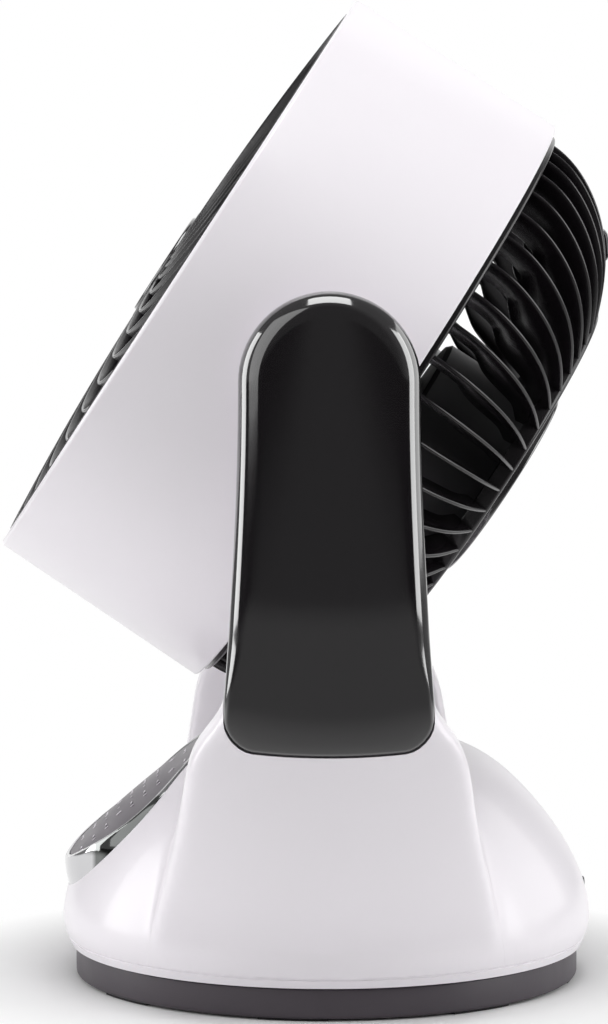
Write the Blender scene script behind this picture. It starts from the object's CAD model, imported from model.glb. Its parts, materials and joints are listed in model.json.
import json
import math

import bpy
from mathutils import Matrix, Vector

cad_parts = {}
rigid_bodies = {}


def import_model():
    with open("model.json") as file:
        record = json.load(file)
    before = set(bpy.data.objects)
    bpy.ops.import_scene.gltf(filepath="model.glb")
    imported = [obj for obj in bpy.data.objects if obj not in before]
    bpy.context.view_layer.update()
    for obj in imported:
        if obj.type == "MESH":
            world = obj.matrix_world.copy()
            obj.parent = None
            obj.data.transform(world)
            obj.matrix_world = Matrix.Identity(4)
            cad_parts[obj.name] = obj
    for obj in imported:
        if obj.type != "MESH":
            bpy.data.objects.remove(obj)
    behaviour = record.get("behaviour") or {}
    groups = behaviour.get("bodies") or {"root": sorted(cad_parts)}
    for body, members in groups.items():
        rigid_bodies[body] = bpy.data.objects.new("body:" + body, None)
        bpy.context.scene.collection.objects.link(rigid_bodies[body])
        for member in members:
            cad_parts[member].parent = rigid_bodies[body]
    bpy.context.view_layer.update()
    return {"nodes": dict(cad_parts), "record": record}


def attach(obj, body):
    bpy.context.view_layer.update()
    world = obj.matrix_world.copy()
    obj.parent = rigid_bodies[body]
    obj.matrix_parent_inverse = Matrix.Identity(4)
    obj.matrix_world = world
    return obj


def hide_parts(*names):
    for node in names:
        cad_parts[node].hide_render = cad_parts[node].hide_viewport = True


# The air circulator's shapes are written in millimetres: X across the yoke, -Y the blowing side,
# Z up.  Pieces of the head are shaped in fan coordinates: Z along the fan axis to the front.
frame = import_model()
MM = 0.001

# ---- sizes shared with the part
PIVOT_Y, PIVOT_Z, TILT = -1.8, 275.0, 33.3
DRUM_R, DRUM_TAPER, DRUM_REAR, DRUM_FRONT = 147.0, 1.8, -27.5, 77.5
DRUM_WALL, SPIGOT_GAP = 2.8, 0.3
HUB_R, RIM_OUT, RIM_IN = 28.0, 137.6, 135.0
GRILLE_TOP = 84.2
BACK_Z = -94.3
ARM_IN, ARM_OUT, ARM_FOOT, ARM_ARC = 149.83, 174.0, 192.7, 269.0
INNER_ARC, INNER_Z, INNER_LOW = 200.0, 232.7, 62.7
CROWN_R, CROWN_Z = 37.6, 276.6
COVER_DEPTH, COVER_EDGE, COVER_GAP = 15.0, 8.5, 0.2
BASE_R = 113.6
PANEL_LOW, PANEL_HIGH, PANEL_W = (-118.3, 52.0), (-55.0, 108.5), 48.0
INLET_Y, INLET_Z = 116.6, 36.7

HEAD = (Matrix.Translation((0, PIVOT_Y * MM, PIVOT_Z * MM))
        @ Matrix.Rotation(math.radians(90 - TILT), 4, "X"))


# ---- modelling helpers
def deselect():
    for obj in bpy.context.view_layer.objects:
        obj.select_set(False)


def pick(obj):
    deselect()
    obj.select_set(True)
    bpy.context.view_layer.objects.active = obj


def edit(*steps):
    """Runs edit-mode operators on everything in the active mesh."""
    bpy.ops.object.mode_set(mode="EDIT")
    bpy.ops.mesh.select_all(action="SELECT")
    for step in steps:
        step()
    bpy.ops.object.mode_set(mode="OBJECT")


def weld():
    bpy.ops.mesh.remove_doubles(threshold=1e-4)
    bpy.ops.mesh.dissolve_degenerate(threshold=1e-5)


def outward():
    bpy.ops.mesh.select_all(action="SELECT")
    bpy.ops.mesh.normals_make_consistent(inside=False)


def apply_modifier(obj, kind, **settings):
    pick(obj)
    modifier = obj.modifiers.new(kind.lower(), kind)
    for key, value in settings.items():
        setattr(modifier, key, value)
    bpy.ops.object.modifier_apply(modifier=modifier.name)


def smooth(obj, degrees=35):
    pick(obj)
    bpy.ops.object.shade_smooth_by_angle(angle=math.radians(degrees))


def spline(points, start=None, end=None, steps=12):
    """A smooth curve through 2-D points, with given end directions."""
    count = len(points)
    runs = [math.dist(points[i], points[i + 1]) for i in range(count - 1)]
    slopes = []
    for axis in (0, 1):
        low, mid, high, right = [0.0] * count, [1.0] * count, [0.0] * count, [0.0] * count
        for i in range(1, count - 1):
            low[i], mid[i], high[i] = runs[i], 2 * (runs[i - 1] + runs[i]), runs[i - 1]
            right[i] = 3 * ((points[i][axis] - points[i - 1][axis]) / runs[i - 1] * runs[i]
                            + (points[i + 1][axis] - points[i][axis]) / runs[i] * runs[i - 1])
        for i, given, near in ((0, start, 1), (count - 1, end, count - 2)):
            if given:
                right[i] = given[axis] / math.hypot(*given)
            else:
                mid[i] = 2.0
                low[i] = high[i] = 1.0
                run = runs[0] if i == 0 else runs[-1]
                right[i] = 3 * (points[max(i, near)][axis] - points[min(i, near)][axis]) / run
        for i in range(1, count):
            part = low[i] / mid[i - 1]
            mid[i] -= part * high[i - 1]
            right[i] -= part * right[i - 1]
        found = [0.0] * count
        found[-1] = right[-1] / mid[-1]
        for i in range(count - 2, -1, -1):
            found[i] = (right[i] - high[i] * found[i + 1]) / mid[i]
        slopes.append(found)
    curve = []
    for i in range(count - 1):
        for j in range(steps):
            t = j / steps
            h = runs[i]
            value = []
            for axis in (0, 1):
                p, q = points[i][axis], points[i + 1][axis]
                m, n = slopes[axis][i] * h, slopes[axis][i + 1] * h
                value.append((2 * t ** 3 - 3 * t ** 2 + 1) * p + (t ** 3 - 2 * t ** 2 + t) * m
                             + (3 * t ** 2 - 2 * t ** 3) * q + (t ** 3 - t ** 2) * n)
            curve.append(tuple(value))
    return curve + [points[-1]]


def rounded(corners, steps=5):
    """A closed outline whose corners (x, y, radius) are rounded."""
    outline = []
    count = len(corners)
    for i, (x, y, radius) in enumerate(corners):
        here = Vector((x, y))
        if radius <= 0:
            outline.append((x, y))
            continue
        back = (Vector(corners[i - 1][:2]) - here).normalized()
        ahead = (Vector(corners[(i + 1) % count][:2]) - here).normalized()
        half = back.angle(ahead) / 2
        reach = radius / math.tan(half)
        centre = here + (back + ahead).normalized() * radius / math.sin(half)
        first = here + back * reach - centre
        last = here + ahead * reach - centre
        for k in range(steps + 1):
            blend = first.lerp(last, k / steps).normalized() * radius
            outline.append(tuple(centre + blend))
    return outline


def placed(obj, place=None):
    """Moves the mesh itself, so that the object stays at the origin."""
    obj.data.transform(Matrix.Scale(MM, 4))
    if place:
        obj.data.transform(place)
    obj.data.update()
    return obj


def turned(name, profile, steps=192, place=None, degrees=35):
    """A piece spun round Z from a closed outline of (radius, height)."""
    deselect()
    bpy.ops.mesh.primitive_circle_add(vertices=len(profile), radius=1)
    obj = bpy.context.object
    obj.name = name
    for vertex, (radius, height) in zip(obj.data.vertices, profile):
        vertex.co = (radius, 0, height)
    edit(lambda: bpy.ops.mesh.spin(steps=steps, angle=2 * math.pi, center=(0, 0, 0), axis=(0, 0, 1)),
         lambda: bpy.ops.mesh.select_all(action="SELECT"), weld, outward)
    placed(obj, place)
    smooth(obj, degrees)
    return obj


def grid_skin(name, rows, columns, point):
    """A grid whose vertices are laid on a surface: point(row, column) in millimetres."""
    deselect()
    bpy.ops.mesh.primitive_grid_add(x_subdivisions=columns - 1, y_subdivisions=rows - 1, size=1)
    obj = bpy.context.object
    obj.name = name
    for i, vertex in enumerate(obj.data.vertices):
        vertex.co = point(i // columns, i % columns)
    edit(weld, outward)
    return placed(obj)


def prism(name, outline, low, high, axis="Z"):
    """An outline carried through along one axis, closed at both ends."""
    deselect()
    bpy.ops.mesh.primitive_circle_add(vertices=len(outline), radius=1, fill_type="NGON")
    obj = bpy.context.object
    obj.name = name
    lay = {"X": lambda a, b, h: (h, a, b),
           "Y": lambda a, b, h: (a, h, b),
           "Z": lambda a, b, h: (a, b, h)}[axis]
    for vertex, (a, b) in zip(obj.data.vertices, outline):
        vertex.co = lay(a, b, low)
    obj.data.update()
    run = lay(0, 0, high - low)
    edit(lambda: bpy.ops.mesh.extrude_region_move(TRANSFORM_OT_translate={"value": run}),
         outward)
    return obj


def boolean(obj, other, operation):
    """Cuts or joins with another solid, which is used up."""
    apply_modifier(obj, "BOOLEAN", operation=operation, object=other, solver="MANIFOLD")
    bpy.data.objects.remove(other, do_unlink=True)
    return obj


def copy_of(obj, name):
    twin = obj.copy()
    twin.data = obj.data.copy()
    twin.name = name
    bpy.context.scene.collection.objects.link(twin)
    return twin


def ring_copies(obj, count, first=0.0):
    """Copies of one piece round Z, each with its own mesh, joined into one object."""
    parts = [obj]
    for i in range(1, count):
        twin = copy_of(obj, obj.name)
        twin.data.transform(Matrix.Rotation(math.radians(first + 360 / count * i), 4, "Z"))
        parts.append(twin)
    obj.data.transform(Matrix.Rotation(math.radians(first), 4, "Z"))
    return joined(parts)


def joined(parts):
    pick(parts[0])
    for part in parts:
        part.select_set(True)
    bpy.context.view_layer.objects.active = parts[0]
    bpy.ops.object.join()
    return bpy.context.object


def mirrored(obj, name):
    """The same piece for the other side, with its faces turned outwards again."""
    twin = copy_of(obj, name)
    twin.data.transform(Matrix.Scale(-1, 4, (1, 0, 0)))
    twin.data.flip_normals()
    return twin


def dress(obj, material, body, slot, *nodes):
    """Gives a piece its finish, its body and the CAD nodes that it stands for."""
    obj.data.materials.clear()
    obj.data.materials.append(material)
    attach(obj, body)
    if nodes:
        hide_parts(*nodes)
    return obj


# ---- finishes
def rgb(red, green, blue):
    """A colour as it looks on screen, 0 to 255, for a shader socket."""
    values = [c / 255 for c in (red, green, blue)]
    return tuple(c / 12.92 if c <= 0.04045 else ((c + 0.055) / 1.055) ** 2.4 for c in values) + (1.0,)


def finish_named(name, colour, rough, metal=0.0, coat=0.0, specular=0.5, ior=1.5):
    material = bpy.data.materials.new(name)
    material.use_nodes = True
    shader = material.node_tree.nodes["Principled BSDF"]
    shader.inputs["Base Color"].default_value = colour
    shader.inputs["Roughness"].default_value = rough
    shader.inputs["Metallic"].default_value = metal
    shader.inputs["Coat Weight"].default_value = coat
    shader.inputs["Coat Roughness"].default_value = 0.04
    shader.inputs["Specular IOR Level"].default_value = specular
    shader.inputs["IOR"].default_value = ior
    return material, material.node_tree, shader


def pattern(tree, kind, scale, stretch=(1, 1, 1), turn=(0, 0, 0), **inputs):
    """A procedural texture laid out in object coordinates (metres)."""
    coords = tree.nodes.new("ShaderNodeTexCoord")
    mapping = tree.nodes.new("ShaderNodeMapping")
    mapping.inputs["Scale"].default_value = stretch
    mapping.inputs["Rotation"].default_value = turn
    texture = tree.nodes.new("ShaderNodeTex" + kind)
    tree.links.new(coords.outputs["Object"], mapping.inputs["Vector"])
    tree.links.new(mapping.outputs["Vector"], texture.inputs["Vector"])
    texture.inputs["Scale"].default_value = scale
    for key, value in inputs.items():
        texture.inputs[key].default_value = value
    return texture


def axes(tree, kind):
    """X, Y and Z of a texture coordinate."""
    coords = tree.nodes.new("ShaderNodeTexCoord")
    split = tree.nodes.new("ShaderNodeSeparateXYZ")
    tree.links.new(coords.outputs[kind], split.inputs[0])
    return split.outputs


def between(tree, value, low, high, first, second):
    """Runs from first to second while a value goes from low to high."""
    node = tree.nodes.new("ShaderNodeMapRange")
    tree.links.new(value, node.inputs["Value"])
    for key, number in (("From Min", low), ("From Max", high), ("To Min", first), ("To Max", second)):
        node.inputs[key].default_value = number
    return node.outputs["Result"]


def mixed(tree, value, first, second):
    """Blends two colours by a value from 0 to 1."""
    node = tree.nodes.new("ShaderNodeMix")
    node.data_type = "RGBA"
    tree.links.new(value, node.inputs["Factor"])
    for socket, colour in ((node.inputs[6], first), (node.inputs[7], second)):
        if isinstance(colour, tuple):
            socket.default_value = colour
        else:
            tree.links.new(colour, socket)
    return node.outputs[2]


def tint(tree, shader, value, first, second):
    """Colours the surface from first to second as a value goes from 0 to 1."""
    tree.links.new(mixed(tree, value, first, second), shader.inputs["Base Color"])


def gloss(tree, shader, value, low, high, first, second):
    """Runs the roughness from first to second while a value goes from low to high."""
    tree.links.new(between(tree, value, low, high, first, second), shader.inputs["Roughness"])


def relief(tree, shader, height, depth):
    """Raises and sinks the surface by a value, depth in millimetres."""
    node = tree.nodes.new("ShaderNodeBump")
    node.inputs["Distance"].default_value = depth * MM
    tree.links.new(height, node.inputs["Height"])
    tree.links.new(node.outputs["Normal"], shader.inputs["Normal"])


def moulded(name, colour, shade, rough, spread, grain, depth, coat=0.0, ior=1.5):
    """Injection-moulded plastic: faint cloudy tint, uneven gloss and a fine skin."""
    material, tree, shader = finish_named(name, colour, rough, coat=coat, ior=ior)
    cloud = pattern(tree, "Noise", 14.0, Detail=2.0)
    tint(tree, shader, between(tree, cloud.outputs["Fac"], 0.2, 0.8, 0.0, 1.0), colour, shade)
    smear = pattern(tree, "Noise", 38.0, stretch=(1, 1, 0.35), Detail=5.0)
    gloss(tree, shader, smear.outputs["Fac"], 0.3, 0.7, rough - spread, rough + spread)
    skin = pattern(tree, "Noise", grain, Detail=2.0)
    relief(tree, shader, skin.outputs["Fac"], depth)
    return material


def brushed(name, colour, shade, rough, metal=1.0, stretch=(1, 1, 40)):
    """Machined or drawn metal with fine lines along one direction."""
    material, tree, shader = finish_named(name, colour, rough, metal=metal)
    lines = pattern(tree, "Noise", 90.0, stretch=stretch, Detail=3.0)
    tint(tree, shader, lines.outputs["Fac"], colour, shade)
    wear = pattern(tree, "Noise", 60.0, Detail=4.0)
    gloss(tree, shader, wear.outputs["Fac"], 0.3, 0.7, rough - 0.08, rough + 0.1)
    relief(tree, shader, lines.outputs["Fac"], 0.02)
    return material


def laminated_core():
    """Stacked steel sheets seen edge on, with a lacquered, slightly uneven colour."""
    material, tree, shader = finish_named("motor_core_sheets", rgb(150, 146, 140), 0.42, metal=0.9)
    sheets = pattern(tree, "Wave", 330.0, turn=(math.radians(TILT - 90), 0, 0), Distortion=0.3)
    sheets.wave_type = "BANDS"
    sheets.bands_direction = "Z"
    lines = between(tree, sheets.outputs["Fac"], 0.1, 0.9, 0.0, 1.0)
    tint(tree, shader, lines, rgb(96, 90, 84), rgb(168, 164, 158))
    relief(tree, shader, sheets.outputs["Fac"], 0.15)
    return material


def board_laminate():
    """Green circuit board with a fine woven ground and darker tracks."""
    material, tree, shader = finish_named("circuit_board_laminate", rgb(28, 92, 52), 0.35)
    weave = pattern(tree, "Checker", 900.0)
    tracks = pattern(tree, "Brick", 120.0)
    tracks.inputs["Mortar Size"].default_value = 0.06
    ground = mixed(tree, weave.outputs["Fac"], rgb(26, 88, 48), rgb(32, 100, 58))
    tint(tree, shader, tracks.outputs["Fac"], ground, rgb(18, 66, 36))
    relief(tree, shader, tracks.outputs["Fac"], 0.04)
    return material


CHROME_TIP = (-0.105, -0.103)


def chrome_plate():
    """Plated trim: dark chrome with a bright lower tip, faint haze and orange peel."""
    material, tree, shader = finish_named("chrome_trim_plate", rgb(196, 196, 198), 0.09, metal=1.0)
    haze = pattern(tree, "Noise", 45.0, Detail=4.0)
    place = axes(tree, "Object")
    tip = between(tree, place["Y"], *CHROME_TIP, 1.0, 0.0)
    dark = mixed(tree, haze.outputs["Fac"], rgb(128, 130, 129), rgb(114, 116, 115))
    bright = mixed(tree, haze.outputs["Fac"], rgb(214, 214, 215), rgb(200, 199, 202))
    tint(tree, shader, tip, dark, bright)
    gloss(tree, shader, haze.outputs["Fac"], 0.35, 0.65, 0.06, 0.14)
    peel = pattern(tree, "Noise", 260.0, Detail=2.0)
    relief(tree, shader, peel.outputs["Fac"], 0.012)
    return material


def smoked_acrylic():
    """Smoky lens of the control panel: a pale reflecting sheet over a dark ground."""
    material, tree, shader = finish_named("smoked_acrylic", rgb(84, 79, 85), 0.3, specular=0.1)
    depth = pattern(tree, "Noise", 16.0, Detail=3.0)
    tint(tree, shader, depth.outputs["Fac"], rgb(92, 87, 93), rgb(106, 100, 107))
    smear = pattern(tree, "Noise", 70.0, stretch=(0.3, 1, 1), Detail=4.0)
    gloss(tree, shader, smear.outputs["Fac"], 0.3, 0.7, 0.29, 0.37)
    relief(tree, shader, smear.outputs["Fac"], 0.01)
    return material


def dimpled_rubber():
    """Soft rubber with a fine pebbled face."""
    material, tree, shader = finish_named("pad_rubber", rgb(38, 36, 38), 0.75, specular=0.3)
    pebbles = pattern(tree, "Voronoi", 700.0)
    tint(tree, shader, pebbles.outputs["Distance"], rgb(44, 42, 44), rgb(28, 27, 29))
    relief(tree, shader, pebbles.outputs["Distance"], 0.15)
    return material


white = moulded("white_shell_plastic", rgb(240, 236, 241), rgb(239, 235, 240),
                rough=0.30, spread=0.02, grain=900.0, depth=0.003, coat=0.2)
black = moulded("black_gloss_plastic", rgb(15, 12, 15), rgb(19, 16, 19),
                rough=0.10, spread=0.02, grain=700.0, depth=0.002, coat=1.0, ior=2.0)
grille_black = moulded("grille_plastic", rgb(17, 14, 17), rgb(22, 19, 22),
                       rough=0.22, spread=0.04, grain=1500.0, depth=0.012, coat=0.1)
base_dark = moulded("base_plastic", rgb(60, 54, 61), rgb(67, 60, 67),
                    rough=0.42, spread=0.06, grain=1300.0, depth=0.03)
inner_grey = moulded("inner_plastic_grey", rgb(176, 176, 178), rgb(162, 162, 165),
                     rough=0.5, spread=0.08, grain=900.0, depth=0.03)
bush_white = moulded("bush_plastic_ivory", rgb(226, 222, 210), rgb(210, 205, 190),
                     rough=0.42, spread=0.07, grain=800.0, depth=0.02)
print_grey = moulded("panel_print_ink", rgb(226, 221, 227), rgb(214, 209, 216),
                     rough=0.5, spread=0.06, grain=1200.0, depth=0.01)
motor_paint = moulded("motor_can_paint", rgb(40, 39, 42), rgb(31, 30, 33),
                      rough=0.4, spread=0.08, grain=1100.0, depth=0.05)
zinc = brushed("zinc_steel", rgb(186, 188, 190), rgb(158, 160, 164), 0.37)
core_metal = laminated_core()
board_green = board_laminate()
chrome = chrome_plate()
smoked = smoked_acrylic()
rubber = dimpled_rubber()


# ---- head: drum
TRUNNION_HOLE_R = 15.1


def drum_r(height, inset=0.0):
    """Radius of the tapered drum at a height, set in by an amount."""
    return DRUM_R - inset - DRUM_TAPER * (height - DRUM_REAR) / (DRUM_FRONT - DRUM_REAR)


def drum_shell():
    """White drum: rounded front edge, lip ring round the grille and a step inside the rear edge."""
    lip_back = DRUM_FRONT - DRUM_WALL
    step_low, step_high = DRUM_REAR + 5.0, DRUM_REAR + 7.5
    wall, step = drum_r(step_high, DRUM_WALL), drum_r(step_high, DRUM_WALL) - 5.0
    outline = rounded([
        (drum_r(DRUM_REAR), DRUM_REAR, 0.8), (drum_r(DRUM_FRONT), DRUM_FRONT, 2.0),
        (RIM_OUT + 0.2, DRUM_FRONT, 0.8), (RIM_OUT + 0.2, lip_back, 0.3),
        (drum_r(lip_back, DRUM_WALL), lip_back, 0.6), (wall, step_high, 0.5),
        (step, step_high, 0.4), (step, step_low, 0.4), (wall, step_low, 0.5),
        (drum_r(DRUM_REAR, DRUM_WALL), DRUM_REAR, 0.5)], 5)
    shell = turned("drum_skin", outline, 288, degrees=40)
    pin = prism("pivot_hole", ring_outline(TRUNNION_HOLE_R, 48), -200 * MM, 200 * MM, "X")
    pin.data.transform(Matrix.Diagonal((1, MM, MM, 1)))
    boolean(shell, pin, "DIFFERENCE")
    shell.data.transform(HEAD)
    smooth(shell, 40)
    dress(shell, white, "head", "white_shell", "drum_shell")


def ring_outline(radius, steps, x=0.0, y=0.0):
    turns = [2 * math.pi * i / steps for i in range(steps)]
    return [(x + radius * math.cos(t), y + radius * math.sin(t)) for t in turns]


# ---- head: front grille
VANE_ARC, VANE_T, VANE_FOOT = 89.0, 1.8, 72.0
VANES, VANE_STATIONS = 42, 14
DOME_FOOT, DOME_RISE, DOME_POWER = DRUM_FRONT + 0.4, 6.3, 2.2
RIM_LOW, FLANGE_TOP = 71.8, 74.6


def dome_top(radius):
    """Height of the domed grille face at a distance from the fan axis."""
    return DOME_FOOT + DOME_RISE * (1 - (min(radius, RIM_OUT) / RIM_OUT) ** DOME_POWER)


def vane_centre(turn):
    """Point and side direction of a vane whose arc leaves the hub radially."""
    point = (HUB_R + VANE_ARC * math.sin(turn), VANE_ARC - VANE_ARC * math.cos(turn))
    return point, (-math.sin(turn), math.cos(turn))


def vane_section(point, side):
    """Closed section across a vane: straight flanks that thin towards a rounded crest."""
    crest = dome_top(math.hypot(*point))
    foot, half = VANE_T / 2, VANE_T / 2 - 0.2
    shape = [(-foot, VANE_FOOT), (-foot, VANE_FOOT + 1.0), (-half, crest - half)]
    shape += [(-half * math.cos(math.radians(a)), crest - half + half * math.sin(math.radians(a)))
              for a in (35, 70, 110, 145)]
    shape += [(half, crest - half), (foot, VANE_FOOT + 1.0), (foot, VANE_FOOT)]
    return [(point[0] + side[0] * s, point[1] + side[1] * s, height) for s, height in shape]


def swirl_vanes():
    """All the vanes of the front grille, each bent round one centre towards the rim."""
    reach = math.hypot(HUB_R, VANE_ARC)
    end = RIM_IN + 1.2
    whole = math.acos((reach ** 2 + VANE_ARC ** 2 - end ** 2) / (2 * reach * VANE_ARC))
    last = whole - math.atan2(HUB_R, VANE_ARC)
    first = -1.0 / VANE_ARC
    turns = [first + (last - first) * i / (VANE_STATIONS - 1) for i in range(VANE_STATIONS)]
    stations = [vane_centre(turn) for turn in turns]
    sections = [vane_section(point, side) for point, side in stations]
    columns = len(sections[0])
    vane = grid_skin("swirl_vanes", VANE_STATIONS, columns + 1, lambda i, j: sections[i][j % columns])
    head_ring(vane, VANES, "head", "front_grille")


def close_ends(obj):
    pick(obj)
    edit(lambda: bpy.ops.mesh.fill_holes(sides=0), outward)


def head_ring(part, count, body, node):
    """Closes a part of the head, repeats it round the fan axis and gives it its finish."""
    close_ends(part)
    ring = ring_copies(part, count)
    ring.data.transform(HEAD)
    smooth(ring, 50)
    dress(ring, grille_black, body, "black_grille", node)


def head_turned(name, corners, steps, body, node):
    """A black moulding of the head, turned round the fan axis from rounded corners."""
    piece = turned(name, rounded(corners, 4), steps, HEAD)
    dress(piece, grille_black, body, "black_grille", node)


def grille_rim():
    """Ring behind the drum's lip that carries the outer ends of the vanes."""
    flange = drum_r(DRUM_FRONT - DRUM_WALL, DRUM_WALL) - SPIGOT_GAP
    corners = [(RIM_IN, RIM_LOW, 0.3), (flange, RIM_LOW, 0.5), (flange, FLANGE_TOP, 0.4),
               (RIM_OUT, FLANGE_TOP, 0.2), (RIM_OUT, DOME_FOOT, 0.7), (RIM_IN, DOME_FOOT, 0.7)]
    head_turned("grille_rim", corners, 288, "head", "front_grille")


def grille_hub():
    """Cup in the middle of the grille, with a shallow groove round its face."""
    ceiling, groove = 81.2, 83.6
    corners = [(0, ceiling, 0), (HUB_R - 2, ceiling, 1.0), (HUB_R - 2, VANE_FOOT, 0.3),
               (HUB_R, VANE_FOOT, 0.4), (HUB_R, GRILLE_TOP, 1.2), (26.4, GRILLE_TOP, 0.2),
               (26.1, groove, 0.2), (25.2, groove, 0.2), (24.9, GRILLE_TOP, 0.2), (0, GRILLE_TOP, 0)]
    head_turned("grille_hub", corners, 96, "head", "front_grille")
    cap_outline = spline([(24.6, GRILLE_TOP), (24.2, GRILLE_TOP + 0.9), (22.0, GRILLE_TOP + 1.15),
                          (0, GRILLE_TOP + 1.2)], (0, 1), (-1, 0), 6)
    cap = turned("grille_hub_cap", [(0, GRILLE_TOP)] + cap_outline, 96, HEAD)
    dress(cap, black, "head", "black_gloss", "front_hub_cap")


# ---- head: rear cage
RIBS, RIB_T, RIB_DEPTH, RIB_DEEPEST = 52, 1.8, 12.0, 19.0
CAGE_LINE = [(139.8, 1.5), (139.2, 11.0), (133.5, 26.5), (123.2, 40.5), (108.0, 52.8), (87.8, 62.1)]


def cage_curve(steps=5):
    """Outer line of the cage as (radius, height), from the flange to the back plate."""
    line = spline([(r, -depth) for r, depth in CAGE_LINE], (0, -1), None, steps)
    return [(r, DRUM_REAR + height) for r, height in line]


def cage_normal(line, i):
    before, after = line[max(i - 1, 0)], line[min(i + 1, len(line) - 1)]
    run = math.dist(before, after)
    return (-(after[1] - before[1]) / run, (after[0] - before[0]) / run)


def rib_sections():
    """Sections along one rib: flat flanks, and a rounded edge on the outside and inside."""
    line = cage_curve()
    sections = []
    half = RIB_T / 2
    for i, (radius, height) in enumerate(line):
        out = cage_normal(line, i)
        share = i / (len(line) - 1)
        swell = math.sin(math.pi * min(max(2 * share - 0.7, 0.0), 1.0))
        deep = RIB_DEPTH + (RIB_DEEPEST - RIB_DEPTH) * swell
        shape = [(half * math.cos(math.radians(a)), -half + half * math.sin(math.radians(a)))
                 for a in (0, 30, 60, 90, 120, 150, 180)]
        shape += [(-half, -deep + 0.5), (-half + 0.5, -deep), (half - 0.5, -deep), (half, -deep + 0.5)]
        sections.append([(radius + out[0] * d, side, height + out[1] * d) for side, d in shape])
    return sections


def cage_ribs():
    sections = rib_sections()
    columns = len(sections[0])
    rib = grid_skin("cage_ribs", len(sections), columns + 1, lambda i, j: sections[i][j % columns])
    head_ring(rib, RIBS, "head", "rear_grille")


def cage_flange():
    """Ring that closes the drum's rear edge and carries the ribs."""
    spigot = drum_r(DRUM_REAR + 5, DRUM_WALL) - SPIGOT_GAP
    inner, outer = 133.6, 142.6
    back, front = -30.7, DRUM_REAR + 4.9
    corners = [(inner, back, 1.2), (outer, back, 1.4), (outer, DRUM_REAR, 0.2),
               (spigot, DRUM_REAR, 0.2), (spigot, front, 0.5), (inner, front, 0.5)]
    head_turned("cage_flange", corners, 288, "head", "rear_grille")


def cage_back():
    """Closed cone in the middle of the cage, with a raised ring round the rear cap."""
    edge, rim, wall = BACK_Z + 4.3, 89.0, 2.6
    corners = [(0, BACK_Z, 0), (48.0, BACK_Z, 0.8), (50.0, BACK_Z + 0.6, 0.4), (rim, edge, 2.0),
               (rim, edge + 7.6, 0.6), (86.6, edge + 7.6, 0.6), (86.6, edge + wall, 0.6),
               (47.0, BACK_Z + wall, 1.0), (0, BACK_Z + wall, 0)]
    head_turned("cage_back", corners, 192, "head", "rear_grille")
    top, face, groove = BACK_Z - 0.05, BACK_Z - 2.6, BACK_Z - 2.6 + 0.5
    cap_line = rounded([(0, top, 0), (46.2, top, 0.1), (46.2, face, 0.9), (38.4, face, 0.2),
                        (38.0, groove, 0.2), (36.9, groove, 0.2), (36.5, face, 0.2), (0, face, 0)], 4)
    cap = turned("rear_cap", cap_line, 160, HEAD)
    dress(cap, black, "head", "black_gloss", "rear_cap")


GRIP_MIDDLE, GRIP_HALF_LENGTH = DRUM_REAR - 47.5, 4.6
GRIP_HALF_WIDTH, GRIP_RING = 13.0, 117.0
GRIP_LIFT, GRIP_FALL = 2.0, 1.2


def grip_pad():
    """Finger pad on top of the cage, a saddle that stands proud of the ribs."""
    line = cage_curve(10)
    near = [i for i, p in enumerate(line) if abs(p[1] - GRIP_MIDDLE) < GRIP_HALF_LENGTH]
    rows, columns = len(near), 13
    half = GRIP_HALF_WIDTH / GRIP_RING

    def point(i, j):
        radius, height = line[near[i]]
        out = cage_normal(line, near[i])
        across, along = 2 * j / (columns - 1) - 1, 2 * i / (rows - 1) - 1
        lift = GRIP_LIFT - GRIP_FALL * abs(across) ** 5 - GRIP_FALL * abs(along) ** 5
        r, z = radius + out[0] * lift, height + out[1] * lift
        turn = math.pi / 2 + half * across
        return r * math.cos(turn), r * math.sin(turn), z

    pad = grid_skin("grip_pad", rows, columns, point)
    apply_modifier(pad, "SOLIDIFY", thickness=4.2 * MM, offset=-1)
    apply_modifier(pad, "BEVEL", width=0.5 * MM, segments=2, limit_method="ANGLE", angle_limit=0.7)
    pad.data.transform(HEAD)
    smooth(pad, 40)
    dress(pad, grille_black, "head", "black_grille", "rear_grille")


# ---- head: duct and rotor
DUCT_LOW, DUCT_HIGH = -20.0, 71.7
DUCT_IN, DUCT_OUT, DUCT_FLANGE = 128.5, 130.7, 2.5


def air_duct():
    """Sleeve round the blades with a flange at both ends."""
    rear, front = DUCT_LOW + DUCT_FLANGE, DUCT_HIGH - DUCT_FLANGE
    low, high = drum_r(rear, DRUM_WALL) - SPIGOT_GAP, drum_r(DUCT_HIGH, DRUM_WALL) - SPIGOT_GAP
    corners = [(DUCT_IN, DUCT_LOW, 0.8), (low, DUCT_LOW, 0.4), (low, rear, 0.4),
               (DUCT_OUT, rear, 1.2), (DUCT_OUT, front, 1.2), (high, front, 0.4),
               (high, DUCT_HIGH, 0.4), (DUCT_IN, DUCT_HIGH, 0.8)]
    head_turned("air_duct_skin", corners, 192, "head", "air_duct")


BLADES, BLADE_ROOT, BLADE_TIP = 7, 41.8, 126.0
FAN_LOW, FAN_HIGH, FAN_HUB = -35.7, 10.3, 43.0
FAN_BORE, FAN_BOSS, FAN_CUP = 4.02, 9.0, 40.5


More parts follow.
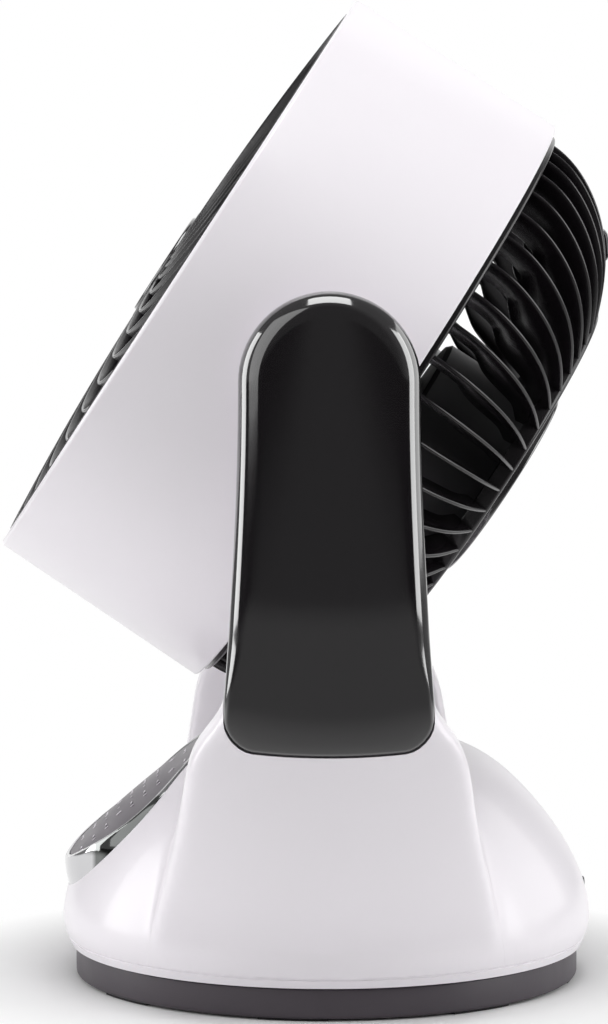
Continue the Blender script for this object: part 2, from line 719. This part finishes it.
def blade_point(part, turn):
    """A point of a blade's skin: part runs from root to tip, turn round the section."""
    radius = BLADE_ROOT + (BLADE_TIP - BLADE_ROOT) * part
    sweep = 0.10 * part * part
    chord = 44.0 + 34.0 * part - 14.0 * part ** 6
    pitch = math.radians(48.0 - 22.0 * part)
    along = math.cos(turn)
    thick = 1.5 * math.sin(turn) * (1 - 0.55 * along) * (1 - 0.35 * part)
    camber = 3.5 * (1 - along * along)
    a, b = chord / 2 * along, thick + camber
    across = a * math.cos(pitch) - b * math.sin(pitch)
    height = a * math.sin(pitch) + b * math.cos(pitch)
    angle = across / radius + sweep
    return radius * math.cos(angle), radius * math.sin(angle), (FAN_LOW + FAN_HIGH) / 2 + height


def impeller():
    """Blades and their cupped hub."""
    rows, columns = 15, 33
    blade = grid_skin("impeller_blades", rows, columns,
                      lambda i, j: blade_point(i / (rows - 1), 2 * math.pi * j / (columns - 1)))
    head_ring(blade, BLADES, "rotor", "impeller")
    foot = FAN_LOW + 4.0
    corners = [(FAN_BORE, FAN_HIGH, 0.2), (34.0, FAN_HIGH, 3.0), (FAN_HUB, FAN_HIGH - 6.0, 5.0),
               (FAN_HUB, FAN_LOW, 0.8), (FAN_CUP, FAN_LOW, 0.5), (FAN_CUP, FAN_HIGH - 9.0, 3.0),
               (FAN_BOSS, FAN_HIGH - 3.5, 1.5), (FAN_BOSS, foot, 0.5), (FAN_BORE, foot, 0.3)]
    head_turned("impeller_hub", corners, 128, "rotor", "impeller")


# ---- yoke: white housing
HOUSING_PROFILE = [(119.8, 25.2), (115.3, 46.4), (94.0, 79.7), (71.0, 99.7), (0, 109.7)]
HOUSING_RIM = (115.4, 14.8)
BODY_VOXEL, BODY_SMOOTHING = 1.9, 45
HOUSING_WALL, BELOW, ABOVE = 2.8, 4.0, 400
GROOVE_Z, GROOVE_DEPTH, SEAM_X = 19.0, 0.6, 50


def face_r(height):
    """Radius of the arms' outer faces, which are turned about the vertical axis."""
    drop = max(0.0, ARM_FOOT - height)
    return ARM_OUT - ARM_ARC + math.sqrt(ARM_ARC ** 2 - drop ** 2)


def arm_side(steps=8):
    """Right half of an arm's outline from the shoulder up to its round top: (Y, Z)."""
    flank = spline([(43.6, 142.7), (39.7, 203.7), (CROWN_R, CROWN_Z)], (-0.07, 1), (0, 1), steps)
    turns = [math.radians(90 * i / 18) for i in range(1, 19)]
    return flank + [(CROWN_R * math.cos(t), CROWN_Z + CROWN_R * math.sin(t)) for t in turns]


def whole_outline(half):
    """Both halves of an outline that starts at the bottom right, centred on the tilt axis."""
    left = [(-y, z) for y, z in reversed(half) if y > 0.001]
    return [(PIVOT_Y + y, z) for y, z in half + left]


def pod_outline(grow=0.0, above=0.0):
    """Side outline of an arm with its pod, grown sideways and upwards."""
    half = spline([(77.0, BELOW - 10), (77.0, 14.8), (61.5, 98.7), (55.2, 124.2), (43.6, 142.7)],
                  (0, 1), (-0.25, 1), 8)
    side = half[:-1] + arm_side()
    return whole_outline([(y + grow, z + (above if z > CROWN_Z else 0.0)) for y, z in side])


def turned_space(inset, low, high):
    """Everything inside the turned outer faces, set in by an amount."""
    heights = [low + (ARM_FOOT - low) * i / 24 for i in range(25)]
    wall = [(face_r(height) - inset, height) for height in heights]
    outline = [(0, low)] + wall + [(ARM_OUT - inset, high), (0, high)]
    return raw_turned("turned_space", outline, 256)


def raw_turned(name, outline, steps):
    """A turned solid that stays in millimetres for cutting."""
    solid = turned(name, outline, steps)
    solid.data.transform(Matrix.Scale(1 / MM, 4))
    return solid


def between_arms():
    """The open space between the arms, with a round bottom on both sides."""
    centre_x = ARM_IN - INNER_ARC
    low = math.asin((INNER_Z - INNER_LOW) / INNER_ARC)
    turns = [-low + low * i / 24 for i in range(25)]
    arc = [(centre_x + INNER_ARC * math.cos(t), INNER_Z + INNER_ARC * math.sin(t)) for t in turns]
    outline = arc + [(ARM_IN, ABOVE), (-300, ABOVE), (-300, -40), (arc[0][0], -40)]
    return prism("between_arms", outline, -300, 300, "Y")


def solid_pod():
    """An arm with its pod as a full solid, before the edges are softened."""
    solid = prism("pod", pod_outline(), 0, ABOVE, "X")
    boolean(solid, turned_space(0, BELOW, ABOVE), "INTERSECT")
    return boolean(solid, between_arms(), "DIFFERENCE")


def mound():
    """The round middle of the housing, turned from one soft curve."""
    side = spline([(112.0, BELOW), HOUSING_RIM, HOUSING_PROFILE[0]], (0.2, 1), (0, 1), 5)
    side = side[:-1] + spline(HOUSING_PROFILE, (0, 1), (-1, 0), 10)
    return raw_turned("mound", [(0, BELOW)] + side, 192)


def soft_body():
    """Mound and both pods melted into one skin with soft edges."""
    pod = solid_pod()
    body = joined([mound(), pod, mirrored(pod, "pod_right")])
    apply_modifier(body, "REMESH", mode="VOXEL", voxel_size=BODY_VOXEL, use_smooth_shade=True)
    apply_modifier(body, "SMOOTH", factor=0.5, iterations=BODY_SMOOTHING)
    pick(body)
    edit(lambda: bpy.ops.mesh.bisect(plane_co=(0, 0, HOUSING_RIM[1]), plane_no=(0, 0, 1),
                                     clear_inner=True))
    return body


def rim_groove(body):
    """A fine line round the housing a little above its lower edge."""
    pick(body)
    for height in (18.3, 18.7, 19.3, 19.7):
        edit(lambda: bpy.ops.mesh.bisect(plane_co=(0, 0, height), plane_no=(0, 0, 1)))
    body.data.update()
    for vertex in body.data.vertices:
        if abs(vertex.co.z - GROOVE_Z) < 0.35:
            vertex.co -= Vector((vertex.normal.x, vertex.normal.y, 0)) * GROOVE_DEPTH


def cover_half(grow=0.0):
    """Right half of a cover's outline: a slightly sagging bottom, a round corner and the arm's flank."""
    low_y, corner, bottom = 43.6 + grow, 12.0, 121.4 - grow
    bend = (low_y - corner, bottom + 1.32)
    edge = spline([(0.0, bottom), bend], (1, 0), (1, 0.09), 5)
    turn = spline([bend, (low_y, bottom + corner + 2.4)], (1, 0.09), (0, 1), 6)
    flank = [(y + grow, z) if z <= CROWN_Z else grown_crown(y, z, grow) for y, z in arm_side()]
    return edge[:-1] + turn + flank


def grown_crown(y, z, grow):
    """A point of an arm's round top, grown outwards from its centre."""
    share = (CROWN_R + grow) / CROWN_R
    return y * share, CROWN_Z + (z - CROWN_Z) * share


def cover_pocket():
    """The recess in an arm that takes its cover, a little larger than the cover."""
    pocket = prism("cover_pocket", whole_outline(cover_half(COVER_GAP)), 0, ABOVE, "X")
    return boolean(pocket, turned_space(COVER_DEPTH + COVER_GAP, -20, ABOVE + 20), "DIFFERENCE")


def panel_place():
    """Control panel axes: x along X, y up the slope, z out of the face."""
    (low_y, low_z), (high_y, high_z) = PANEL_LOW, PANEL_HIGH
    slope = math.atan2(high_z - low_z, high_y - low_y)
    middle = Matrix.Translation((0, (low_y + high_y) / 2, (low_z + high_z) / 2))
    return middle @ Matrix.Rotation(slope, 4, "X")


PANEL_L = math.dist(PANEL_LOW, PANEL_HIGH) / 2
PANEL_BULGE, PANEL_FALL = 2.2, 4.0


def panel_lift(x, y):
    """Height of the panel's face over a flat one: crowned along it, falling off to both sides."""
    across, along = x / PANEL_W, y / PANEL_L
    crown = PANEL_BULGE * max(0.0, 1 - (along + 0.25) ** 2)
    return crown - PANEL_FALL * across ** 2 * max(0.0, 1.1 - along ** 2)


def oval_skin(name, rings, steps=96):
    """Oval rings (half width, half length, shift, height) laid on the curved face of the slope."""
    turns = [2 * math.pi * i / steps for i in range(steps)]

    def point(i, j):
        wide, long, shift, height = rings[i]
        turn = turns[j % steps]
        x, y = wide * math.cos(turn), shift + long * math.sin(turn)
        return x, y, height + panel_lift(x, y)

    return grid_skin(name, len(rings), steps + 1, point)


def on_slope(body):
    body.data.transform(Matrix.Scale(1 / MM, 4))
    body.data.transform(panel_place())
    return body


def oval_body(name, rings):
    """A closed solid through oval rings, placed on the slope."""
    body = oval_skin(name, rings)
    close_ends(body)
    return on_slope(body)


def panel_opening():
    """The hole for the panel: it follows the skirt below and opens straight upwards."""
    wide, long = PANEL_W + 0.15, PANEL_L + 0.15
    return oval_body("panel_opening", [
        (wide + 5.2, long + 6.0, -2.2, -13.0), (wide + 4.0, long + 4.8, -1.7, -10.0),
        (wide + 2.1, long + 2.6, -1.0, -5.0), (wide, long, 0, 0.15), (wide, long, 0, 40.0)])


def white_housing():
    """Parts the soft shell into two side panels and the middle housing."""
    shell = soft_body()
    rim_groove(shell)
    apply_modifier(shell, "SOLIDIFY", thickness=HOUSING_WALL, offset=-1)
    panel = copy_of(shell, "side_panel_left_skin")
    boolean(panel, seam_window(1.0, 1), "INTERSECT")
    for side in (1, -1):
        boolean(shell, seam_window(1.02, side), "DIFFERENCE")
    shell.name = "base_housing_skin"
    boolean(shell, panel_opening(), "DIFFERENCE")
    boolean(shell, prism("inlet_hole", ring_outline(6.5, 40, 0, INLET_Z), 100, 140, "Y"), "DIFFERENCE")
    finished_shell(shell, "base_housing")
    boolean(panel, cover_pocket(), "DIFFERENCE")
    bore = prism("pivot_hole", ring_outline(13.6, 48, PIVOT_Y, PIVOT_Z), 140, 200, "X")
    boolean(panel, bore, "DIFFERENCE")
    finished_shell(mirrored(panel, "side_panel_right_skin"), "side_panel_right")
    finished_shell(panel, "side_panel_left")


def seam_window(grow, side):
    """The space on one side that belongs to a side panel."""
    start = SEAM_X + 1.0 - grow
    low, high = (start, 300) if side > 0 else (-300, -start)
    return prism("seam_window", pod_outline(grow, 3.0), low, high, "X")


def finished_shell(piece, node):
    placed(piece)
    smooth(piece, 30)
    dress(piece, white, "yoke", "white_shell", node)


# ---- yoke: black arm covers
def cover_edge(height):
    """Rounding of a cover's edge: full along the arm, tight along its bottom."""
    part = min(max((height - 134.0) / 38.0, 0.0), 1.0)
    return 2.0 + (COVER_EDGE - 2.0) * part * part * (3 - 2 * part)


def cover_columns(edge):
    """Offsets from the outline and from the outer face, across wall and rounded edge."""
    wall = [(0.0, COVER_DEPTH - (COVER_DEPTH - edge) * i / 3) for i in range(4)]
    turns = [math.radians(90 * i / 10) for i in range(1, 11)]
    return wall + [(edge * (1 - math.cos(t)), edge * (1 - math.sin(t))) for t in turns]


def dense(outline, pitch=3.0):
    """An outline with points about every few millimetres."""
    points = []
    for i, here in enumerate(outline):
        ahead = outline[(i + 1) % len(outline)]
        count = max(1, round(math.dist(here, ahead) / pitch))
        across, along = ahead[0] - here[0], ahead[1] - here[1]
        points += [(here[0] + across * k / count, here[1] + along * k / count) for k in range(count)]
    return points


def arm_cover():
    """Black cover: side wall, rounded edge and a face on the turned surface."""
    outline = dense(whole_outline(cover_half()))
    count = len(outline)
    inner_steps = 12

    def inward(i):
        before, after = outline[i - 1], outline[(i + 1) % count]
        run = math.dist(before, after)
        return -(after[1] - before[1]) / run, (after[0] - before[0]) / run

    def point(i, j):
        i %= count
        y, z = outline[i]
        edge = cover_edge(z)
        columns = cover_columns(edge)
        offset, drop = columns[min(j, len(columns) - 1)]
        ny, nz = inward(i)
        y, z = y + ny * offset, z + nz * offset
        extra = j - len(columns) + 1
        if extra > 0:
            share = extra / inner_steps
            spine = min(max(z, 165.0), CROWN_Z)
            y += (PIVOT_Y - y) * share
            z += (spine - z) * share
        radius = face_r(z) - drop
        return math.sqrt(max(radius * radius - y * y, 0.0)), y, z

    cover = grid_skin("arm_cover_skin", count + 1, 14 + inner_steps, point)
    apply_modifier(cover, "SOLIDIFY", thickness=2.4 * MM, offset=-1)
    smooth(cover, 40)
    right = mirrored(cover, "arm_cover_skin_right")
    dress(cover, black, "yoke", "black_gloss", "arm_cover_left")
    dress(right, black, "yoke", "black_gloss", "arm_cover_right")


# ---- yoke: control panel
LENS_W, LENS_L, LENS_EDGE, LENS_CROWN = PANEL_W - 3.15, PANEL_L - 3.15, -0.5, 0.35
MARK_ROWS, MARK_PITCH, MARK_FIRST, MARK_COLUMNS, LAMP_X = 9, 7.6, -31.0, (-8.0, 20.0), 8.0


def control_bezel():
    """Plated ring round the panel: flared skirt, rounded rim and a ledge for the window."""
    wide, long = PANEL_W, PANEL_L
    skirt = [(wide + 4.0, long + 4.8, -1.7, -10.0), (wide + 2.1, long + 2.6, -1.0, -5.0),
             (wide + 0.5, long + 0.7, -0.2, -1.4)]
    inner = [(0.1, -0.4), (0.6, 0), (2.4, 0), (2.9, -0.3),
             (3.0, -0.8), (3.0, -2.6), (4.5, -2.6), (4.5, -10.0)]
    rings = skirt + [(wide - inset, long - inset, 0, height) for inset, height in inner] + skirt[:1]
    ring = placed(on_slope(oval_skin("control_bezel_ring", rings, 160)))
    smooth(ring, 35)
    dress(ring, chrome, "yoke", "chrome_trim", "control_bezel")


def control_window():
    """Smoked lens, very slightly crowned, with a bevelled edge."""
    wide, long = LENS_W, LENS_L
    rings = [(wide, long, 0, -2.5), (wide, long, 0, -0.9), (wide - 0.4, long - 0.4, 0, LENS_EDGE)]
    rings += [(wide * s, long * s, 0, LENS_EDGE + LENS_CROWN * (1 - s * s))
              for s in (0.9, 0.75, 0.55, 0.35, 0.15, 0.02)]
    lens = oval_body("control_window_lens", rings)
    placed(lens)
    smooth(lens, 35)
    dress(lens, smoked, "yoke", "smoked_window", "control_window")


def panel_mark(name, outline, x, y):
    """A printed mark: a very thin raised shape on the lens."""
    crown = LENS_CROWN * (1 - (x / LENS_W) ** 2 - (y / LENS_L) ** 2)
    lens = LENS_EDGE + crown + panel_lift(x, y)
    mark = prism(name, [(x + a, y + b) for a, b in outline], lens - 0.1, lens + 0.08, "Z")
    mark.data.transform(panel_place())
    return mark


def panel_marks():
    """Two rows of plain key marks up the panel and a row of small lamp dots between them."""
    marks = []
    dash = [(-3.2, -0.5), (3.2, -0.5), (3.2, 0.5), (-3.2, 0.5)]
    for i in range(MARK_ROWS):
        y = MARK_FIRST + MARK_PITCH * i
        for x in MARK_COLUMNS:
            if i % 4 != 3:
                marks.append(panel_mark("key_dash", dash, x, y))
                marks.append(panel_mark("key_dot", ring_outline(1.1, 20), x + 6.5, y))
            else:
                marks.append(panel_mark("key_ring_dot", ring_outline(1.7, 24), x, y))
        if 1 < i < 7:
            marks.append(panel_mark("lamp_dot", ring_outline(0.7, 16), LAMP_X, y))
    legend = joined(marks)
    legend.name = "panel_marks"
    placed(legend)
    dress(legend, print_grey, "yoke", "inner_plastic")


# ---- yoke: power inlet
def power_inlet():
    """Round low-voltage socket at the rear of the housing."""
    place = Matrix.Translation((0, INLET_Y * MM, INLET_Z * MM)) @ Matrix.Rotation(-math.pi / 2, 4, "X")
    outline = rounded([(3.2, 0.6, 0.4), (3.2, -11.0, 0), (0, -11.0, 0), (0, -14.0, 0),
                       (6.45, -14.0, 0.4), (6.45, 0.6, 0.8)], 4)
    sleeve = turned("inlet_sleeve", outline, 64, place)
    dress(sleeve, grille_black, "yoke", "black_grille", "power_inlet")
    line = spline([(1.0, -11.2), (1.0, -1.6), (0.7, -1.1), (0, -0.9)], (0, 1), (-1, 0), 4)
    pin = turned("inlet_pin", line + [(0, -11.2)], 32, place)
    dress(pin, zinc, "yoke", "steel", "power_inlet")


# ---- base
PADS, PAD_TURN, PAD_HIGH = 8, -8.5, 1.0


def base_plate():
    """Round plate: rounded lower edge, step for the housing and rings for gear and slide."""
    top, guide, track, low = 14.2, 18.2, 19.2, 1.0
    outline = rounded([
        (BASE_R, low, 1.6), (BASE_R, top, 0.8), (110.0, top, 0.4), (110.0, guide, 0.8),
        (107.0, guide, 0.8), (107.0, top, 0.4), (75.0, top, 0.4), (75.0, track, 0.5), (60.0, track, 0.5),
        (60.0, top, 0.4), (0, top, 0), (0, top - 2.5, 0), (110.4, top - 2.5, 1.0), (110.4, low, 0.5)], 4)
    plate = turned("base_plate_skin", outline, 256)
    dress(plate, base_dark, "base", "dark_base", "base_plate")


def foot_pads():
    """Rubber pads under the rim and one under the middle, with soft edges."""
    outer, half = BASE_R - 1.5, math.atan(14.5 / (BASE_R - 9.0))
    inner = outer - 15
    arc = [(-half + 2 * half * i / 14) for i in range(15)]
    outline = [(outer * math.cos(t), outer * math.sin(t)) for t in arc]
    outline += [(inner * math.cos(t), inner * math.sin(t)) for t in reversed(arc)]
    pad = prism("foot_pad", outline, 0.0, PAD_HIGH)
    pads = ring_copies(pad, PADS, PAD_TURN)
    middle = prism("middle_pad", ring_outline(16.0, 64), 0.0, PAD_HIGH)
    pads = joined([pads, middle])
    placed(pads)
    apply_modifier(pads, "BEVEL", width=0.25 * MM, segments=2, limit_method="ANGLE", angle_limit=0.7)
    smooth(pads, 40)
    dress(pads, rubber, "base", "rubber_pad", "foot_pads")


# ---- pieces kept from the model
def inner_pieces():
    """Finishes for the pieces that keep the model's own shapes."""
    finishes = {"dark_base": base_dark, "steel": zinc, "bush_plastic": bush_white,
                "inner_plastic": inner_grey, "motor_can": motor_paint, "motor_core": core_metal,
                "circuit_board": board_green, "black_grille": grille_black, "black_gloss": black,
                "white_shell": white}
    slots = {part["node"]: part["material_slot"] for part in frame["record"]["subparts"]}
    for node, obj in frame["nodes"].items():
        if slots[node] in finishes:
            obj.data.materials.clear()
            obj.data.materials.append(finishes[slots[node]])


# ---- studio
CAMERA_AT = (1.8503, -0.0332, 0.3677)
CAMERA_YAW, CAMERA_PITCH, CAMERA_LENS = 0.712, 4.888, 144.75
ROOM_LIGHT, ROOM_DIM = 0.22, 0.10
PAPER_NEAR, PAPER_FAR, FLOOR_R = 0.125, 0.2, 12.0
# name, place, aimed at, width, height, watts
LAMPS = [
    ("overhead", (0.4, 0.0, 1.45), (0, 0, 0.3), 0.8, 0.9, 10.0),
    ("left_side", (-0.15, -1.45, 0.45), (0, 0, 0.25), 0.7, 1.2, 9.8),
    ("right_side", (0.35, 1.4, 0.45), (0, 0, 0.25), 0.7, 1.2, 9.5),
    ("front_fill", (1.2, -1.3, 0.9), (0, 0, 0.25), 1.6, 1.6, 9.0),
    ("far_right", (-0.4, 1.3, 0.6), (0, 0, 0.25), 1.0, 1.0, 4.5)]


def camera():
    data = bpy.data.cameras.new("camera")
    data.sensor_fit = "VERTICAL"
    data.sensor_height = 36.0
    data.lens = CAMERA_LENS
    data.dof.use_dof = False
    view = bpy.data.objects.new("camera", data)
    bpy.context.scene.collection.objects.link(view)
    yaw, pitch = math.radians(CAMERA_YAW), math.radians(CAMERA_PITCH)
    level = math.cos(pitch)
    ahead = Vector((-math.cos(yaw) * level, math.sin(yaw) * level, -math.sin(pitch)))
    view.location = CAMERA_AT
    view.rotation_euler = ahead.to_track_quat("-Z", "Y").to_euler()
    bpy.context.scene.camera = view


def softbox(name, at, towards, wide, high, power):
    data = bpy.data.lights.new(name, "AREA")
    data.shape = "RECTANGLE"
    data.size = wide
    data.size_y = high
    data.energy = power
    lamp = bpy.data.objects.new(name, data)
    bpy.context.scene.collection.objects.link(lamp)
    lamp.location = at
    lamp.rotation_euler = (Vector(towards) - Vector(at)).to_track_quat("-Z", "Y").to_euler()
    lamp.visible_camera = False


def combined(tree, operation, *values):
    """The values joined two by two with one Math operation."""
    total = values[0]
    for value in values[1:]:
        node = tree.nodes.new("ShaderNodeMath")
        node.operation = operation
        tree.links.new(total, node.inputs[0])
        tree.links.new(value, node.inputs[1])
        total = node.outputs[0]
    return total


def size_of(tree, value):
    """The value without its sign."""
    node = tree.nodes.new("ShaderNodeMath")
    node.operation = "ABSOLUTE"
    tree.links.new(value, node.inputs[0])
    return node.outputs[0]


def paper_white():
    """White floor: plain paper near the object that turns to pure white further off."""
    material = bpy.data.materials.new("paper_floor")
    material.use_nodes = True
    tree = material.node_tree
    paper = tree.nodes["Principled BSDF"]
    paper.inputs["Roughness"].default_value = 0.9
    paper.inputs["Specular IOR Level"].default_value = 0.1
    fibres = pattern(tree, "Noise", 40.0, Detail=6.0)
    tint(tree, paper, fibres.outputs["Fac"], rgb(244, 244, 244), rgb(248, 248, 248))
    glow = tree.nodes.new("ShaderNodeEmission")
    place = axes(tree, "Object")
    path = tree.nodes.new("ShaderNodeLightPath").outputs
    level = combined(tree, "MULTIPLY", between(tree, place["X"], 0.12, 0.4, 1.0, 0.2),
                     between(tree, place["X"], 0.9, 1.4, 1.0, 0.5),
                     between(tree, size_of(tree, place["Y"]), 0.6, 1.3, 1.0, 0.2))
    tree.links.new(combined(tree, "MAXIMUM", level, path["Is Camera Ray"]), glow.inputs["Strength"])
    coords = tree.nodes.new("ShaderNodeTexCoord")
    length = tree.nodes.new("ShaderNodeVectorMath")
    length.operation = "LENGTH"
    tree.links.new(coords.outputs["Object"], length.inputs[0])
    far = between(tree, length.outputs["Value"], PAPER_NEAR, PAPER_FAR, 0.0, 1.0)
    seen = combined(tree, "MAXIMUM", path["Is Camera Ray"], path["Is Glossy Ray"],
                    path["Is Transmission Ray"])
    amount = combined(tree, "MULTIPLY", far, seen)
    blend = tree.nodes.new("ShaderNodeMixShader")
    tree.links.new(amount, blend.inputs[0])
    tree.links.new(paper.outputs[0], blend.inputs[1])
    tree.links.new(glow.outputs[0], blend.inputs[2])
    tree.links.new(blend.outputs[0], tree.nodes["Material Output"].inputs["Surface"])
    return material


def floor():
    bpy.ops.mesh.primitive_circle_add(vertices=64, radius=FLOOR_R, fill_type="NGON")
    paper = bpy.context.object
    paper.name = "paper_floor"
    paper.data.materials.append(paper_white())


def world():
    """Pale room that is white to the camera and dim behind it, with a bright wall on the far side."""
    scene_world = bpy.data.worlds.new("studio")
    bpy.context.scene.world = scene_world
    scene_world.use_nodes = True
    tree = scene_world.node_tree
    tree.nodes["Background"].inputs["Color"].default_value = (1.0, 1.0, 1.0, 1.0)
    way = axes(tree, "Generated")
    path = tree.nodes.new("ShaderNodeLightPath").outputs
    room = between(tree, way["X"], 0.55, 0.85, ROOM_LIGHT, ROOM_DIM)
    mirrored_rays = combined(tree, "MAXIMUM", path["Is Glossy Ray"], path["Is Transmission Ray"])
    wall = combined(tree, "MULTIPLY", between(tree, way["X"], -0.6, -0.4, 1.0, 0.0),
                    between(tree, size_of(tree, way["Y"]), 0.35, 0.63, 1.0, 0.0), mirrored_rays)
    tree.links.new(combined(tree, "MAXIMUM", room, wall, path["Is Camera Ray"]),
                   tree.nodes["Background"].inputs["Strength"])


def studio():
    bpy.context.scene.view_settings.view_transform = "Standard"
    camera()
    world()
    floor()
    for lamp in LAMPS:
        softbox(*lamp)


drum_shell()
swirl_vanes()
grille_rim()
grille_hub()
cage_ribs()
cage_flange()
cage_back()
grip_pad()
air_duct()
impeller()
white_housing()
arm_cover()
control_bezel()
control_window()
panel_marks()
power_inlet()
base_plate()
foot_pads()
inner_pieces()
studio()
